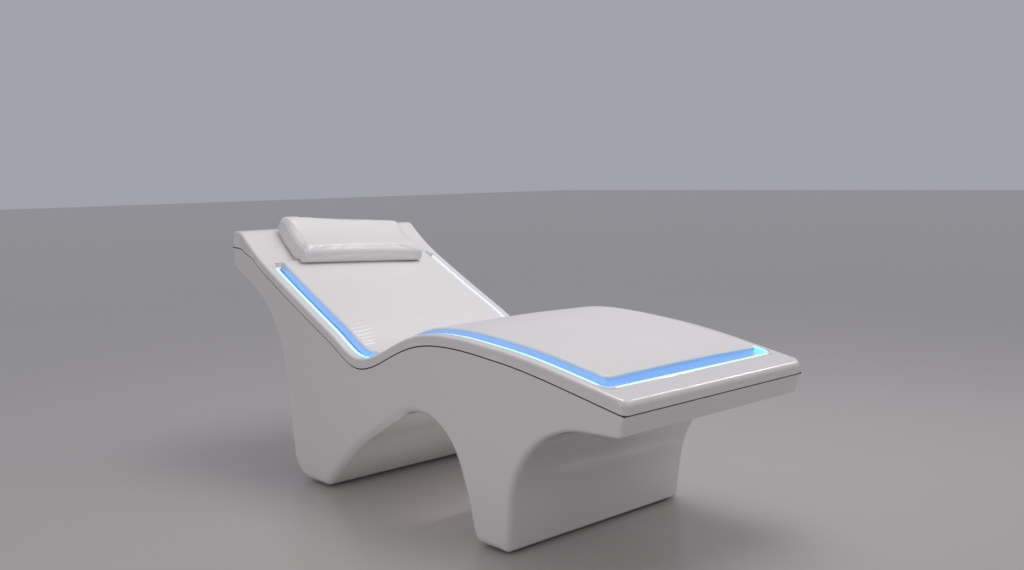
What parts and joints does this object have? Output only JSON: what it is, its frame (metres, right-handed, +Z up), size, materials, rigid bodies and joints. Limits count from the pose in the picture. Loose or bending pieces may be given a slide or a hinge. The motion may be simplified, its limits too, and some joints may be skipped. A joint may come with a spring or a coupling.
{
  "type": "spa relaxation lounger",
  "caption": "Wave-shaped two-leg relaxation lounger in glossy moulded shells, with a lit recess, a contoured pad, a neck pillow and its lighting electrics inside.",
  "frame": {"origin": "on the floor, at the middle of the lounger's length and width", "axes": "+X along the lounger towards the foot end, +Y across it to the user's right when lying on their back, +Z up"},
  "size_m": [1.91, 0.7718, 0.9077],
  "materials": {
    "shell_gloss": "polished white gel coat",
    "gasket_rubber": "matt black foam rubber",
    "zinc_steel": "zinc plated",
    "birch_plywood": "bare birch plywood",
    "glide_black": "satin black",
    "light_sleeve": "frosted silicone, lit azure",
    "strip_white": "white circuit tape",
    "light_chips": "clear moulded",
    "cap_grey": "grey silicone",
    "grip_tape": "black hook tape",
    "white_vinyl": "fine grained soft vinyl",
    "foam": "open cell foam",
    "panel_coat": "powder coated",
    "moulded_black": "fine texture",
    "contact_metal": "bright",
    "fuse_glass": "clear",
    "rocker_gloss": "glossy black",
    "case_aluminium": "satin",
    "circuit_board": "green lacquer",
    "lead_sheath": "smooth black sheath"
  },
  "bodies": {
    "lounger": {"base_shell": "shell_gloss", "top_shell": "shell_gloss", "seam_gasket": "gasket_rubber", "shell_bolts": "zinc_steel", "shell_washers": "gasket_rubber", "shell_nuts": "zinc_steel", "head_rib": "birch_plywood", "rear_leg_rib": "birch_plywood", "arch_rib": "birch_plywood", "front_leg_rib": "birch_plywood", "foot_rib": "birch_plywood", "rear_sole_plate": "birch_plywood", "front_sole_plate": "birch_plywood", "foot_inserts": "zinc_steel", "led_sleeve": "light_sleeve", "led_strip": "strip_white", "led_chips": "light_chips", "led_end_caps": "cap_grey", "grip_tapes": "grip_tape", "service_panel": "panel_coat", "panel_screws": "zinc_steel", "inlet_body": "moulded_black", "inlet_pins": "contact_metal", "inlet_screws": "zinc_steel", "switch_body": "moulded_black", "led_driver": "case_aluminium", "driver_board": "circuit_board", "driver_cover": "case_aluminium", "driver_screws": "zinc_steel", "led_controller": "moulded_black", "controller_screws": "zinc_steel", "mains_lead": "lead_sheath", "switch_lead": "lead_sheath", "driver_lead": "lead_sheath", "strip_lead": "lead_sheath"},
    "pad": {"pad_cover": "white_vinyl", "pad_foam": "foam", "pad_board": "birch_plywood"},
    "pillow": {"pillow_cover": "white_vinyl", "pillow_core": "foam"},
    "foot_rear_near": {"stud_rear_near": "zinc_steel", "glide_rear_near": "glide_black"},
    "foot_rear_far": {"stud_rear_far": "zinc_steel", "glide_rear_far": "glide_black"},
    "foot_front_near": {"stud_front_near": "zinc_steel", "glide_front_near": "glide_black"},
    "foot_front_far": {"stud_front_far": "zinc_steel", "glide_front_far": "glide_black"},
    "rocker": {"power_rocker": "rocker_gloss"},
    "fuse_holder": {"fuse_drawer": "moulded_black", "fuse_link": "fuse_glass"}
  },
  "joints": [
    {"name": "pad_lift", "type": "slide", "parent": "lounger", "child": "pad", "axis": [0, 0, 1], "range_m": [0, 0.15]},
    {"name": "pillow_lift", "type": "slide", "parent": "pad", "child": "pillow", "axis": [0.53, 0, 0.848], "range_m": [0, 0.12]},
    {"name": "rear_near_levelling", "type": "slide", "parent": "lounger", "child": "foot_rear_near", "axis": [0, 0, 1], "range_m": [-0.012, 0]},
    {"name": "rear_far_levelling", "type": "slide", "parent": "lounger", "child": "foot_rear_far", "axis": [0, 0, 1], "range_m": [-0.012, 0]},
    {"name": "front_near_levelling", "type": "slide", "parent": "lounger", "child": "foot_front_near", "axis": [0, 0, 1], "range_m": [-0.012, 0]},
    {"name": "front_far_levelling", "type": "slide", "parent": "lounger", "child": "foot_front_far", "axis": [0, 0, 1], "range_m": [-0.012, 0]},
    {"name": "rocker_tilt", "type": "hinge", "parent": "lounger", "child": "rocker", "pos_m": [-0.61116, -0.0375, 0.18928], "axis": [0, 1, 0], "range_deg": [0, 16]},
    {"name": "fuse_drawer_pull", "type": "slide", "parent": "lounger", "child": "fuse_holder", "axis": [-0.9914, 0, -0.1307], "range_m": [0, 0.014]}
  ]
}
